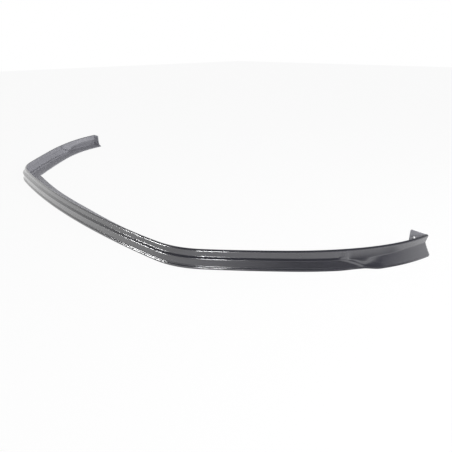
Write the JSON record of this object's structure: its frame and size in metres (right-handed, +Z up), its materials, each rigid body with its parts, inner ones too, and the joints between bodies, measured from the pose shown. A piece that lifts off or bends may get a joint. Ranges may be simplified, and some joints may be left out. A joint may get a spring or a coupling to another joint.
{
  "type": "front splitter lip",
  "caption": "U-shaped front lip for a car bumper: an upright wall over a projecting ledge, a floor flange, flared side blades and a screw tab at each rear end.",
  "frame": {"origin": "middle of the footprint, on the floor that the lip lies on", "axes": "+Z up, -Y to the front of the car, +X to the side that the picture shows nearest"},
  "size_m": [1.801, 0.5428, 0.0534],
  "materials": {
    "shell": "gloss"
  },
  "bodies": {
    "root": {"front_lip": "shell"}
  },
  "joints": []
}
